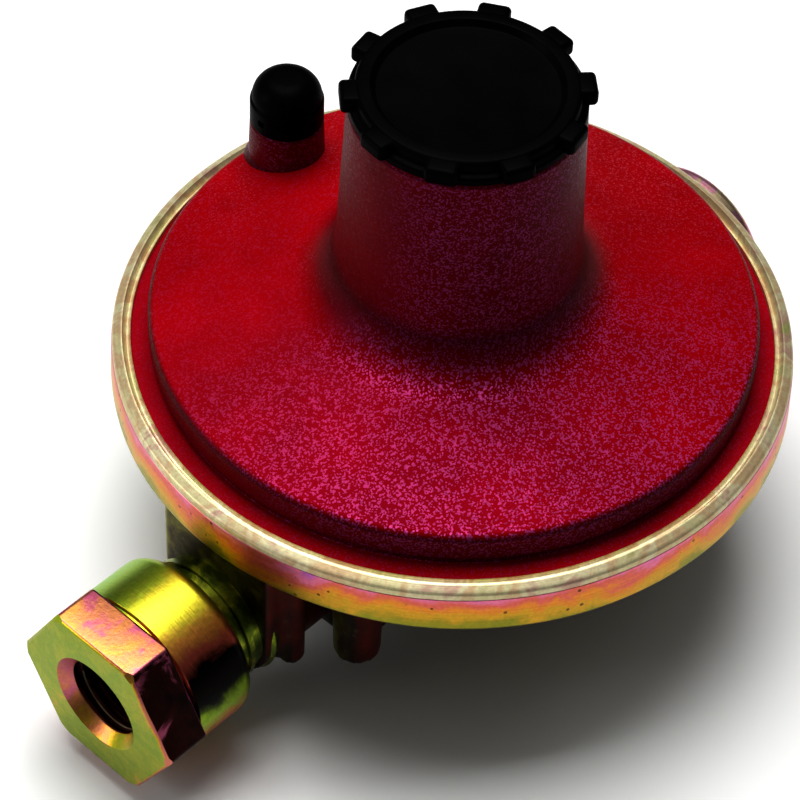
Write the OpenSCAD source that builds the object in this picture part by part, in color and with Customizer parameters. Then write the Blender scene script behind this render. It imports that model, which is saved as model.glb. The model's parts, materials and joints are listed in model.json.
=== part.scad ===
// Low-pressure gas regulator: round die-cast body, crimped cover with a spring tower,
// lever valve inside. X runs from inlet to outlet, Z up the tower, z = 0 is the resting face.

/* [Rim and body] */
// Outside radius of the rim at its upper edge
rim_r = 46; // [42:0.5:56]
// Height of the rim's upper edge above the resting face
lip_z = 36; // [34:0.5:48]
// Height of the rim's outer band
band_h = 6.8; // [5.5:0.1:9]
// How far the band flares outward at its lower edge
band_flare = 0.25; // [0:0.05:0.5]
// Width of the lip folded over the cover
lip_w = 2.6; // [2:0.1:3.2]
// Rise of the lip towards its inner edge
lip_rise = 0.8; // [0.4:0.1:1.2]
// Wall of the rim outside the cover flange
rim_wall = 2; // [1.6:0.1:2.4]
// Wall of the bowl under the diaphragm
bowl_wall = 3; // [2.5:0.1:4]
// Depth of the bowl under the diaphragm seat
bowl_depth = 7.6; // [6.5:0.1:9]
// Width of the ring on which the diaphragm is clamped
seat_w = 6.5; // [5:0.1:7]

/* [Ports] */
// Height of the flow axis above the resting face
flow_z = 15.3; // [14.5:0.1:18]
// Radius of the inlet and outlet bosses under the rim
boss_r = 9.6; // [9.2:0.1:11]
// Radius of the inlet neck
neck_r = 8.8; // [8:0.1:9]
// Length of the inlet neck in front of its boss
neck_l = 11.5; // [11:0.1:14]
// Radius of the drilled inlet channel
channel_r = 4.5; // [4:0.1:5]
// Wall radius of the inlet's female thread, G 1/4
inlet_thread_r = 5.72; // [5:0.01:6]
// Wall radius of the outlet's female thread, G 3/8
outlet_thread_r = 7.48; // [7:0.01:8]
// Depth of each thread's lead-in chamfer
lead_in = 1.55; // [1:0.05:2]
// Width across the flats of the inlet hexagon
hex_af = 24; // [24:0.5:27]
// Length of the inlet hexagon
hex_l = 6.8; // [6:0.1:9]
// Radius of the round collar behind the hexagon
collar_r = 12.1; // [11.5:0.1:13.5]
// Length of the round collar
collar_l = 10.5; // [10:0.1:13]
// Rounding of the collar's back edge
collar_round = 2; // [1:0.1:2.5]
// Gap between the collar and the boss face
collar_gap = 4.4; // [3.6:0.1:6]
// Radius of the outlet collar
outlet_r = 12.2; // [11.5:0.1:13.5]
// Length of the outlet collar
outlet_l = 9; // [8:0.1:12]
// Length of the outlet's screwed spigot
outlet_spigot_l = 7; // [6:0.1:8]

/* [Cover] */
// Thickness of the cover flange held by the lip
flange_t = 2; // [1.6:0.1:2.4]
// Width of the flat flange ring inside the lip
flange_step = 2.5; // [2:0.1:3.5]
// Height of the dome's edge above the rim's upper edge
dome_edge_h = 5.4; // [4.5:0.1:7]
// Rounding of the dome's edge
dome_round = 1.2; // [0.8:0.1:1.8]
// Slope of the dome in degrees
dome_slope = 13; // [9:0.5:15]
// Wall of the cover
cover_wall = 2.2; // [1.8:0.1:2.6]
// Height of the tower's rim above the rim's upper edge
tower_h = 41.5; // [40:0.5:52]
// Outside radius of the tower at its rim
tower_r = 15.2; // [14.5:0.1:18.5]
// Taper of the tower in degrees
tower_taper = 2.35; // [1:0.05:3]
// Radius of the fillet between tower and dome
tower_fillet = 9; // [6:0.5:10]
// Wall of the tower at its rim
tower_wall = 2.4; // [2:0.1:3]

/* [Adjusting cap and screw] */
// Number of grip lugs round the cap
lug_n = 10; // [6:1:14]
// Radius of one rounded lug
lug_r = 2; // [1.5:0.1:2.4]
// How far the lugs stand proud of the tower
lug_proud = 1; // [0.4:0.1:1.5]
// Height of the cap above the tower
cap_h = 3; // [2.6:0.1:5]
// How far the cap's crown stands inside the tower's outside
crown_inset = 0.9; // [0.5:0.1:1.5]
// Length of the cap's threaded spigot, which is also its travel
spigot_l = 6; // [5:0.1:7]
// Thread pitch of the cap and of the adjusting screw
pitch = 1.5; // [1:0.25:2]
// Thickness of the adjusting screw
screw_t = 5; // [4:0.1:6]
// Gap between the cap's spigot and the adjusting screw
screw_gap = 2.5; // [1:0.1:4]
// Width across the flats of the adjusting screw's socket
socket_af = 10; // [8:0.5:12]
// Working travel of the adjusting screw
screw_travel = 8; // [4:0.5:9]

/* [Springs] */
// Wire diameter of the main spring
wire_d = 2; // [1.6:0.1:2.4]
// Mean radius of the main spring
spring_r = 9.5; // [9:0.1:10]
// Working turns of the main spring
spring_turns = 6; // [4:0.5:7]
// Wire diameter of the relief spring
relief_wire_d = 0.9; // [0.7:0.1:1.1]
// Mean radius of the relief spring
relief_spring_r = 4; // [3.8:0.1:4.5]
// Length of the relief spring
relief_spring_l = 7; // [6:0.1:8]

/* [Diaphragm and stem] */
// Thickness of the rubber diaphragm
rubber_t = 1; // [0.8:0.1:1.4]
// Radius of the diaphragm's rolled fold
roll_r = 6; // [5:0.1:6.5]
// Radius of the upper diaphragm plate
plate_r = 22; // [20:0.5:22.5]
// Thickness of both diaphragm plates
plate_t = 1.2; // [1:0.1:1.6]
// Radius of the stem
stem_r = 2.5; // [2.2:0.1:3]
// Radius of the stem's sealing flange
seal_flange_r = 5; // [4.5:0.1:6]
// Stroke of the stem each way from rest
stroke = 1.5; // [1:0.1:1.6]

/* [Lever and valve] */
// Distance from the stem to the lever's pivot
lever_arm = 18; // [17:0.1:19]
// Depth of the pivot under the flow axis
pivot_drop = 5.4; // [5.3:0.1:5.6]
// Height of the lever's fork above the flow axis
fork_rise = 7.3; // [6.8:0.1:8]
// Thickness of the lever's fork
fork_t = 1.2; // [1:0.1:1.4]
// Radius of the pivot pin
pin_r = 1.25; // [1:0.05:1.4]
// Radius of the valve holder's head; its tail is 1 mm less
slide_r = 4; // [3.8:0.1:4.1]
// Radius of the rubber seat disc
disc_r = 3.2; // [3:0.1:3.3]
// Gap left between the seat disc and the nozzle when shut
shut_gap = 0.05; // [0.02:0.01:0.1]
// Radius of the gas hole in the nozzle
orifice_r = 1.2; // [0.8:0.1:1.6]
// Half width of the valve chamber
chamber_y = 10.5; // [10:0.1:11]
// Side walls of the valve chamber
chamber_wall = 2.6; // [2.2:0.1:3.5]

/* [Base and fixings] */
// Radius of the bottom plug's flange
plug_r = 14; // [13:0.1:15]
// Thickness of the bottom plug's flange
plug_t = 3; // [2.5:0.1:3.4]
// Radius of the bottom plug's spigot
plug_spigot_r = 9.4; // [8.5:0.1:9.6]
// Radius of each fixing post
post_r = 3.2; // [3:0.1:3.8]
// Height of the fixing posts' ends above the resting face
post_z = 10; // [8:0.5:12]
// Distance of the posts inside the rim, along the flow
post_inset = 12.8; // [12:0.1:14]
// Half the distance between the posts across the flow
post_y = 14.8; // [14.6:0.1:18]
// Wall radius of the fixing holes, tapped M4
post_hole_r = 1.65; // [1.4:0.05:2]
// Depth of the fixing holes
post_hole_l = 8; // [6:0.5:9]

/* [Vent] */
// Radius of the vent boss
vent_r = 5.1; // [4.8:0.1:5.6]
// Distance of the vent boss from the tower's axis
vent_dist = 35.8; // [34:0.1:38]
// Angle of the vent boss round the tower
vent_angle = 83.6; // [60:1:120]
// Height of the vent boss above the rim's upper edge
vent_h = 12.6; // [11:0.1:15]
// Height of the vent cap
vent_cap_h = 7.4; // [6.5:0.1:9]
// Radius of the vent hole
vent_hole_r = 2.9; // [2.4:0.1:3.2]

/* [Clearances] */
// Running clearance of turning and sliding fits
run = 0.06; // [0.02:0.01:0.1]
// Assembly gap of loose fits
gap = 0.3; // [0.2:0.05:0.5]

/* [Hidden] */
fine = 96;
mid = 48;
small = 32;
eps = 0.01;

// Rim and diaphragm levels
flange_top = lip_z - 0.4;
flange_z = flange_top - flange_t;
seat_z = flange_z - rubber_t;
floor_z = seat_z - bowl_depth;
band_z = lip_z - band_h;
rim_in = rim_r - rim_wall;
lip_in = rim_r - lip_w;
seat_in = rim_in - seat_w;

// Ports
face_x = sqrt(rim_r * rim_r - boss_r * boss_r);
collar_x = -face_x - collar_gap;
hex_x = collar_x - collar_l;
front_x = hex_x - hex_l;
neck_x = -face_x - neck_l;
outlet_x = face_x + 1;
end_x = outlet_x + outlet_l;
outlet_spigot_r = outlet_thread_r + 1.6;
swivel_x = neck_x + 5;
seal_x = neck_x + 2.5;
snap_x = -face_x - 2;
ring_r = 0.6;
oring_r = 0.7;

// Cover
wall_r = lip_in - flange_step;
edge_r = wall_r - dome_round;
edge_z = lip_z + dome_edge_h;
tower_z = lip_z + tower_h;
bore_r = tower_r - tower_wall;
fillet_z = (edge_z + (edge_r - tower_r - tower_z * tan(tower_taper)
    - tower_fillet / cos(tower_taper)) * tan(dome_slope) + tower_fillet / cos(dome_slope))
    / (1 - tan(tower_taper) * tan(dome_slope));
fillet_r = tower_r + (tower_z - fillet_z) * tan(tower_taper) + tower_fillet / cos(tower_taper);
function dome_z(r) = edge_z + (edge_r - r) * tan(dome_slope);
cavity_r = wall_r - cover_wall;

// Adjusting cap, adjusting screw and spring seat
spigot_z = tower_z - spigot_l;
crown_r = tower_r - crown_inset;
screw_z = spigot_z - screw_gap - screw_t;
washer_t = 1.3;
washer_z = screw_z - washer_t - 0.1;

// Diaphragm, plates and stem
plate_z = flange_z;
plate_top = plate_z + plate_t;
backing_z = seat_z - plate_t;
flange_stem_z = backing_z - 0.05;
seal_flange_t = 1.3;
nut_z = plate_top + relief_spring_l;
nut_t = 2.4;
roll_c = (seat_in + plate_r) / 2 + 0.25;

// Lever and valve, with the pivot behind and under the flow axis
pivot_x = -lever_arm;
pivot_z = flow_z - pivot_drop;
fork_z = flow_z + fork_rise;
slide_front = pivot_x - 6.6;
slide_head = 4;
tail_r = slide_r - 1;
tail_end = pivot_x + 8.6;
disc_t = 1.4;
valve_gap = stroke * pivot_drop / lever_arm + shut_gap;
nozzle_tip = slide_front - 0.2 - valve_gap;
nozzle_hex = nozzle_tip - 1;
wall_x = nozzle_hex - 1.4;
nozzle_end = wall_x - 6.4;
nozzle_r = 5;
chamber_end = pivot_x + 32;
chamber_z = pivot_z - 2.8;
block_x = wall_x - 3.4;
block_end = chamber_end + 16;
hub_z = plug_t + 0.8;
block_z = hub_z + 1.2;
plate_a = slide_front + 1.8;
plate_b = pivot_x + 6;
bracket_t = 1.4;
sheet_t = 1.2;
ear_y = 5;
bracket_y = chamber_y - gap;
screw_x = plate_b - 1.6;
screw_y = ear_y + 3.3;
screw_r = 0.9;
screw_depth = 1.5;

// Vent
vent_x = vent_dist * cos(vent_angle);
vent_y = vent_dist * sin(vent_angle);
vent_z = lip_z + vent_h;

// Points of an arc from one angle to another
function arc(r, a, b, n, x = 0, y = 0) =
    [for (i = [0:n]) [x + r * cos(a + (b - a) * i / n), y + r * sin(a + (b - a) * i / n)]];

// A cylinder along X from x0 to x1
module rod_x(r, x0, x1, y = 0, z = flow_z, fn = mid)
    translate([x0, y, z]) rotate([0, 90, 0]) cylinder(r = r, h = x1 - x0, $fn = fn);

// An outline of [radius, x] points turned about the flow axis
module turned_x(points, fn = mid)
    translate([0, 0, flow_z]) rotate([0, 90, 0]) rotate_extrude($fn = fn) polygon(points);

// A round ring about the flow axis
module ring_x(major, minor, x, fn = mid)
    translate([x, 0, flow_z]) rotate([0, 90, 0])
        rotate_extrude($fn = fn) translate([major, 0]) circle(r = minor, $fn = small);

// A tube ring about Z
module ring_z(r_in, r_out, z0, z1)
    translate([0, 0, z0]) difference() {
        cylinder(r = r_out, h = z1 - z0, $fn = fine);
        translate([0, 0, -eps]) cylinder(r = r_in, h = z1 - z0 + 2 * eps, $fn = fine);
    }

// A helical spring from z0 to z1 with closed end turns, swept as rings of sides
function coil_z(t, turns, z0, z1, wire) =
    let (rest = z1 - z0 - 3 * wire)
    z0 + wire / 2 + wire * (min(t, 1) + max(0, t - turns - 1))
        + rest * min(max((t - 1) / turns, 0), 1);
module coil(mean, wire, turns, z0, z1, steps = 24, sides = 8) {
    total = turns + 2;
    n = round(total * steps);
    rings = [for (i = [0:n]) let (t = total * i / n, a = 360 * t, z = coil_z(t, turns, z0, z1, wire))
        for (k = [0:sides - 1]) let (b = 360 * k / sides, r = mean + wire / 2 * cos(b))
            [r * cos(a), r * sin(a), z + wire / 2 * sin(b)]];
    sides_faces = [for (i = [0:n - 1], k = [0:sides - 1]) let (m = (k + 1) % sides)
        [i * sides + k, (i + 1) * sides + k, (i + 1) * sides + m, i * sides + m]];
    caps = [[for (k = [0:sides - 1]) k], [for (k = [sides - 1:-1:0]) n * sides + k]];
    polyhedron(points = rings, faces = concat(sides_faces, caps), convexity = 10);
}

// A block with rounded upright edges
module block(x0, x1, y, z0, z1, r = 3) translate([0, 0, z0]) {
    translate([x0, -y + r, 0]) cube([x1 - x0, 2 * (y - r), z1 - z0]);
    translate([x0 + r, -y, 0]) cube([x1 - x0 - 2 * r, 2 * y, z1 - z0]);
    for (x = [x0 + r, x1 - r], s = [-1, 1])
        translate([x, s * (y - r), 0]) cylinder(r = r, h = z1 - z0, $fn = small);
}

// Boss under the rim: half round below the flow axis, straight up to the band
module port_boss(x0, x1) {
    rod_x(boss_r, x0, x1);
    translate([x0, -boss_r, flow_z]) cube([x1 - x0, 2 * boss_r, band_z + 1 - flow_z]);
}

// Gusset under the bowl, from the valve chamber out to the rim
module gusset(x) {
    in_y = chamber_y + chamber_wall;
    for (side = [-1, 1])
        translate([x - 1, 0, 0]) rotate([90, 0, 90]) linear_extrude(2)
            polygon([[side * (in_y - 1), block_z + 4], [side * in_y, block_z + 4],
                [side * (seat_in - 1), band_z - 1.5], [side * (seat_in - 1), band_z + 0.5],
                [side * (in_y - 1), floor_z - 1]]);
}

module lower_body() color("khaki") {
    bowl_r = seat_in - bowl_depth / 2;
    difference() {
        union() {
            // Bowl, seat, band and folded lip, turned in one piece
            rotate_extrude($fn = fine) polygon(concat(
                [[0, floor_z - bowl_wall], [bowl_r - 1, floor_z - bowl_wall],
                 [seat_in + 2, band_z - 1.2], [rim_r - 1.5, band_z - 0.3]],
                arc(0.6, -80, 0, 4, rim_r + band_flare - 0.6, band_z + 0.3),
                arc(0.8, 0, 70, 5, rim_r - 0.8, lip_z - 0.7),
                arc(0.5, 80, 180, 6, lip_in + 0.5, lip_z + lip_rise - 0.5),
                [[lip_in, flange_top], [rim_in, flange_top], [rim_in, seat_z], [seat_in, seat_z],
                 [seat_in, seat_z - bowl_depth / 2], [bowl_r, floor_z], [0, floor_z]]));
            // Valve chamber and hub
            block(block_x, block_end, chamber_y + chamber_wall, block_z, floor_z);
            translate([0, 0, hub_z]) cylinder(r = plug_r, h = block_z - hub_z + 1, $fn = fine);
            port_boss(-face_x, block_x + 4);
            port_boss(block_end - 4, face_x);
            rod_x(neck_r, neck_x, -face_x + 1, fn = fine);
            for (sx = [-1, 1], sy = [-1, 1])
                translate([sx * (rim_r - post_inset), sy * post_y, post_z])
                    cylinder(r = post_r, h = band_z - 2 - post_z, $fn = mid);
            // Small round ribs on the flanks of the inlet boss
            for (sy = [-1, 1])
                translate([-face_x + 5, sy * (boss_r - 0.2), post_z - 0.5])
                    cylinder(r = 1.7, h = band_z - post_z, $fn = small);
            for (x = [-8, 10]) gusset(x);
        }
        // Valve chamber and its opening for the plug
        translate([wall_x, -chamber_y, chamber_z])
            cube([chamber_end - wall_x, 2 * chamber_y, floor_z - chamber_z + 1]);
        translate([0, 0, hub_z - eps])
            cylinder(r = plug_spigot_r + 0.05, h = chamber_z - hub_z + 1, $fn = fine);
        // Inlet channel, nozzle seat and outlet channel
        rod_x(channel_r, neck_x - eps, nozzle_end + eps);
        rod_x(nozzle_r, nozzle_end, wall_x + eps);
        rod_x(outlet_thread_r - 1, chamber_end - eps, face_x, fn = fine);
        rod_x(outlet_spigot_r, face_x - outlet_spigot_l, face_x + eps, fn = fine);
        // Grooves of the neck
        ring_x(neck_r + 0.03, ring_r, swivel_x);
        turned_x([[neck_r - 1.4, seal_x - 0.95], [neck_r + 1, seal_x - 0.95],
            [neck_r + 1, seal_x + 0.95], [neck_r - 1.4, seal_x + 0.95]], fine);
        turned_x([[neck_r - 0.8, snap_x - 0.4], [neck_r + 1, snap_x - 0.4],
            [neck_r + 1, snap_x + 0.4], [neck_r - 0.8, snap_x + 0.4]], fine);
        // Tapped holes of the posts and of the bracket
        for (sx = [-1, 1], sy = [-1, 1])
            translate([sx * (rim_r - post_inset), sy * post_y, post_z - eps])
                cylinder(r = post_hole_r, h = post_hole_l, $fn = small);
        for (sy = [-1, 1])
            translate([screw_x, sy * screw_y, chamber_z - screw_depth])
                cylinder(r = screw_r, h = screw_depth + eps, $fn = small);
    }
}

module upper_cover() color("firebrick") {
    ceiling = cover_wall / cos(dome_slope);
    difference() {
        union() {
            rotate_extrude($fn = fine) polygon(concat(
                [[0, flange_z], [rim_in - 0.05, flange_z], [rim_in - 0.05, flange_top],
                 [wall_r - 0.7, flange_top], [wall_r - 0.7, flange_top + 1], [wall_r, flange_top + 2]],
                arc(dome_round, 0, 90 - dome_slope, 6, edge_r,
                    edge_z - dome_round / cos(dome_slope)),
                arc(tower_fillet, 270 - dome_slope, 180 + tower_taper, 12, fillet_r, fillet_z),
                arc(0.5, tower_taper, 90, 4, tower_r - 0.5, tower_z - 0.5),
                [[0, tower_z]]));
            // Vent boss
            translate([vent_x, vent_y, flange_top]) {
                cylinder(r = vent_r, h = vent_z - flange_top, $fn = mid);
                cylinder(r = vent_r + 0.5, h = dome_z(vent_dist) + 1.6 - flange_top, $fn = mid);
            }
        }
        // Spring chamber
        rotate_extrude($fn = fine) polygon([[0, flange_z - eps], [cavity_r, flange_z - eps],
            [cavity_r, dome_z(cavity_r) - ceiling], [bore_r, dome_z(bore_r) - ceiling],
            [0, dome_z(bore_r) - ceiling]]);
        translate([0, 0, flange_z + 1])
            cylinder(r = bore_r, h = tower_z - flange_z, $fn = fine);
        // Vent hole with a step for the screen
        translate([vent_x, vent_y, flange_z + 2])
            cylinder(r = vent_hole_r - 0.9, h = vent_z, $fn = small);
        translate([vent_x, vent_y, dome_z(vent_dist)])
            cylinder(r = vent_hole_r, h = vent_z, $fn = small);
    }
}

module adjusting_cap() color("black") {
    difference() {
        union() {
            rotate_extrude($fn = fine) polygon(concat(
                [[0, spigot_z], [bore_r - run, spigot_z], [bore_r - run, tower_z],
                 [tower_r, tower_z], [tower_r, tower_z + cap_h * 0.35],
                 [crown_r, tower_z + cap_h * 0.42]],
                [[crown_r, tower_z + cap_h - 0.4], [crown_r - 0.4, tower_z + cap_h]],
                [[crown_r - 2, tower_z + cap_h], [crown_r - 2.6, tower_z + cap_h - 0.9],
                 [0, tower_z + cap_h - 0.9]]));
            for (i = [0:lug_n - 1]) rotate(i * 360 / lug_n - 5.9)
                translate([tower_r + lug_proud - lug_r, 0, tower_z + 0.4])
                    cylinder(r = lug_r, h = cap_h - 1, $fn = small);
        }
        translate([0, 0, spigot_z - eps]) cylinder(r = bore_r - 3.4, h = spigot_l, $fn = fine);
        // Groove for the seal
        ring_z(bore_r - 2, bore_r + 1, tower_z - 2.4, tower_z - 0.4);
    }
}

module cap_seal() color("dimgray")
    translate([0, 0, tower_z - 1.4]) rotate_extrude($fn = fine)
        translate([bore_r - 1.08, 0]) circle(r = 0.9, $fn = small);

module adjusting_screw() color("gold") {
    difference() {
        rotate_extrude($fn = fine) polygon([[0, screw_z], [bore_r - run - 0.5, screw_z],
            [bore_r - run, screw_z + 0.5], [bore_r - run, screw_z + screw_t - 0.5],
            [bore_r - run - 0.5, screw_z + screw_t], [0, screw_z + screw_t]]);
        translate([0, 0, screw_z + 1.2])
            cylinder(r = socket_af / 2 / cos(30), h = screw_t, $fn = 6);
        translate([0, 0, screw_z - eps]) cylinder(r = 2, h = screw_t, $fn = small);
    }
}

module upper_spring_seat() color("silver") {
    pilot = spring_r - wire_d / 2 - gap;
    difference() {
        union() {
            translate([0, 0, washer_z])
                cylinder(r = bore_r - gap, h = washer_t, $fn = fine);
            translate([0, 0, washer_z - 1.4]) cylinder(r = pilot, h = 1.5, $fn = fine);
        }
        translate([0, 0, washer_z - 2]) cylinder(r = pilot - 1.6, h = washer_t + 3, $fn = fine);
    }
}

module main_spring() color("lightgray")
    coil(spring_r, wire_d, spring_turns, plate_top, washer_z);

module diaphragm_plate() color("silver") {
    ring = spring_r + wire_d / 2 + gap;
    rotate_extrude($fn = fine) polygon([[stem_r + 0.1, plate_z], [plate_r, plate_z],
        [plate_r, plate_top + 2.4], [plate_r - 1.2, plate_top + 2.4], [plate_r - 1.2, plate_top],
        [ring + 1, plate_top], [ring + 1, plate_top + 1.2], [ring, plate_top + 1.2],
        [ring, plate_top], [stem_r + 0.1, plate_top]]);
}

module diaphragm() color("dimgray") {
    h = rubber_t / 2;
    rotate_extrude($fn = fine) polygon(concat(
        [[stem_r + 0.1, seat_z], [roll_c - roll_r + h, seat_z]],
        arc(roll_r - h, 180, 0, 14, roll_c, seat_z + h),
        [[roll_c + roll_r - h, seat_z], [rim_in - 0.2, seat_z], [rim_in - 0.2, flange_z],
         [roll_c + roll_r + h, flange_z]],
        arc(roll_r + h, 0, 180, 14, roll_c, seat_z + h),
        [[roll_c - roll_r - h, flange_z], [stem_r + 0.1, flange_z]]));
}

module backing_plate() color("silver")
    ring_z(stem_r + 0.1, 2 * seal_flange_r, backing_z, seat_z);

module relief_stem() color("gold") {
    play = (fork_t + 0.8) / 2;
    rotate_extrude($fn = mid) polygon([[0, fork_z - play - 1.4], [stem_r + 0.7, fork_z - play - 1.4],
        [stem_r + 0.7, fork_z - play], [stem_r - 0.9, fork_z - play], [stem_r - 0.9, fork_z + play],
        [stem_r, fork_z + play], [stem_r, flange_stem_z - seal_flange_t],
        [seal_flange_r, flange_stem_z - seal_flange_t], [seal_flange_r, flange_stem_z],
        [stem_r, flange_stem_z], [stem_r, nut_z + nut_t + 0.6], [0, nut_z + nut_t + 0.6]]);
}

module relief_nut() color("silver")
    translate([0, 0, nut_z]) difference() {
        cylinder(r = relief_spring_r + 0.8, h = nut_t, $fn = 6);
        translate([0, 0, -eps]) cylinder(r = stem_r, h = nut_t + 1, $fn = mid);
    }

module relief_spring() color("lightgray")
    coil(relief_spring_r, relief_wire_d, 4, plate_top, nut_z, 20, 8);

module lever() color("silver") {
    limb = 0.8;
    width = stem_r + 0.7;
    eye = pin_r + 0.95;
    difference() {
        union() {
            translate([pivot_x - limb, -1.3, pivot_z])
                cube([2 * limb, 2.6, fork_z + fork_t / 2 - pivot_z]);
            translate([pivot_x - limb, -width, fork_z - fork_t / 2])
                cube([lever_arm + limb + width + 1.2, 2 * width, fork_t]);
            translate([pivot_x, 2.4, pivot_z]) rotate([90, 0, 0])
                cylinder(r = eye, h = 4.8, $fn = small);
        }
        translate([pivot_x, 3, pivot_z]) rotate([90, 0, 0])
            cylinder(r = pin_r + 0.05, h = 6, $fn = small);
        translate([-width, -(stem_r - 0.8), fork_z - fork_t])
            cube([3 * width, 2 * (stem_r - 0.8), 2 * fork_t]);
    }
}

module lever_pin() color("lightgray")
    translate([pivot_x, ear_y + 2.2, pivot_z]) rotate([90, 0, 0])
        cylinder(r = pin_r, h = 2 * (ear_y + 2.2), $fn = small);

module lever_bracket() color("silver") {
    top = flow_z + slide_r + 1.1;
    difference() {
        union() {
            translate([plate_a, -bracket_y, chamber_z])
                cube([plate_b + bracket_t - plate_a, 2 * bracket_y, sheet_t]);
            for (x = [plate_a, plate_b])
                translate([x, -ear_y - bracket_t, chamber_z])
                    cube([bracket_t, 2 * (ear_y + bracket_t), top - chamber_z]);
            for (y = [-ear_y - bracket_t, ear_y])
                translate([plate_a, y, chamber_z])
                    cube([pivot_x + 3.4 - plate_a, bracket_t, pivot_z + 2.6 - chamber_z]);
        }
        // Window under the lever's eye
        translate([pivot_x - 3, -3, chamber_z - 1]) cube([6, 6, 3]);
        translate([pivot_x, 20, pivot_z]) rotate([90, 0, 0])
            cylinder(r = pin_r, h = 40, $fn = small);
        rod_x(slide_r + run, plate_a - 1, plate_a + bracket_t + 1);
        rod_x(tail_r + run, plate_b - 1, plate_b + bracket_t + 1);
        for (sy = [-1, 1])
            translate([screw_x, sy * screw_y, chamber_z - 1])
                cylinder(r = screw_r + 0.1, h = 4, $fn = small);
    }
}

module bracket_screws() color("lightgray")
    for (sy = [-1, 1]) translate([screw_x, sy * screw_y, chamber_z]) {
        translate([0, 0, 0.1 - screw_depth]) cylinder(r = screw_r, h = screw_depth + 2, $fn = small);
        translate([0, 0, sheet_t]) difference() {
            cylinder(r = screw_r + 0.7, h = 1.2, $fn = small);
            translate([-screw_r, -0.25, 0.7]) cube([2 * screw_r, 0.5, 1]);
        }
    }

module valve_slide() color("gold") {
    difference() {
        union() {
            rod_x(slide_r, slide_front, slide_front + slide_head);
            rod_x(tail_r, slide_front + 2, tail_end);
        }
        rod_x(disc_r, slide_front - eps, slide_front + disc_t - 0.2);
        translate([pivot_x - 1.3, -1.6, flow_z - slide_r - 1]) cube([2.6, 3.2, 2 * slide_r + 2]);
    }
}

module seat_disc() color("dimgray")
    rod_x(disc_r, slide_front - 0.2, slide_front + disc_t - 0.2);

module inlet_nozzle() color("gold") {
    difference() {
        union() {
            rod_x(nozzle_r, nozzle_end, wall_x);
            translate([wall_x, 0, flow_z]) rotate([0, 90, 0])
                cylinder(r = nozzle_r + 1.2, h = nozzle_hex - wall_x, $fn = 6);
            translate([nozzle_hex - eps, 0, flow_z]) rotate([0, 90, 0])
                cylinder(r1 = 2.6, r2 = 1.9, h = nozzle_tip - nozzle_hex + eps, $fn = small);
        }
        rod_x(orifice_r, nozzle_end - 1, nozzle_tip + 1, fn = small);
        rod_x(2.6, nozzle_end - 1, wall_x - 1.5, fn = small);
        turned_x([[nozzle_r - 1.2, nozzle_end + 2.4], [nozzle_r + 1, nozzle_end + 2.4],
            [nozzle_r + 1, nozzle_end + 4], [nozzle_r - 1.2, nozzle_end + 4]]);
    }
}

module nozzle_oring() color("dimgray")
    ring_x(nozzle_r - 0.62, 0.58, nozzle_end + 3.2);

module inlet_filter() color("gray") {
    back = nozzle_end - 0.2;
    difference() {
        rod_x(channel_r - 0.05, back - 9, back);
        rod_x(channel_r - 0.5, back - 8.6, back + 1);
    }
}

module inlet_connector() color("yellowgreen") {
    hex_r = hex_af / 2 / cos(30);
    round_r = collar_r - collar_round;
    difference() {
        union() {
            // Hexagon with its corners turned back to a cone at the front
            intersection() {
                translate([front_x, 0, flow_z]) rotate([0, 90, 0]) rotate(30)
                    cylinder(r = hex_r, h = hex_l, $fn = 6);
                turned_x([[0, front_x], [hex_r - 1.4, front_x], [hex_r, front_x + 0.7],
                    [hex_r, hex_x], [0, hex_x]], fine);
            }
            turned_x(concat([[0, hex_x - eps], [collar_r, hex_x - eps]],
                arc(collar_round, 0, 90, 6, round_r, collar_x - collar_round),
                [[0, collar_x]]), fine);
        }
        // Female thread with its lead-in, then the bore that turns on the neck
        rod_x(inlet_thread_r, front_x - eps, neck_x, fn = fine);
        turned_x([[0, front_x - eps], [inlet_thread_r + lead_in, front_x - eps],
            [inlet_thread_r, front_x + lead_in], [0, front_x + lead_in]], fine);
        rod_x(neck_r + run, neck_x - 0.3, collar_x + eps, fn = fine);
        ring_x(neck_r + 0.03, ring_r + 0.06, swivel_x);
    }
}

module swivel_ring() color("silver") ring_x(neck_r + 0.03, ring_r, swivel_x);

module inlet_oring() color("dimgray") ring_x(neck_r - oring_r, oring_r, seal_x);

module snap_ring() color("lightgray")
    turned_x([[neck_r - 0.8, snap_x - 0.4], [neck_r + 0.5, snap_x - 0.4],
        [neck_r + 0.5, snap_x + 0.4], [neck_r - 0.8, snap_x + 0.4]], fine);

module outlet_connector() color("yellowgreen") {
    start = face_x - outlet_spigot_l + 0.2;
    difference() {
        union() {
            turned_x(concat([[0, outlet_x], [outlet_r - 0.6, outlet_x], [outlet_r, outlet_x + 0.6]],
                arc(1.5, 0, 90, 6, outlet_r - 1.5, end_x - 1.5), [[0, end_x]]), fine);
            rod_x(outlet_spigot_r, start, outlet_x + 1, fn = fine);
        }
        rod_x(outlet_thread_r, outlet_x - 2, end_x + eps, fn = fine);
        rod_x(outlet_thread_r - 1, start - 1, outlet_x, fn = fine);
        turned_x([[0, end_x - lead_in], [outlet_thread_r, end_x - lead_in],
            [outlet_thread_r + lead_in, end_x + eps], [0, end_x + eps]], fine);
    }
}

module outlet_washer() color("chocolate")
    turned_x([[outlet_spigot_r + 0.05, face_x], [outlet_r - 0.8, face_x],
        [outlet_r - 0.8, outlet_x], [outlet_spigot_r + 0.05, outlet_x]], fine);

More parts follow.
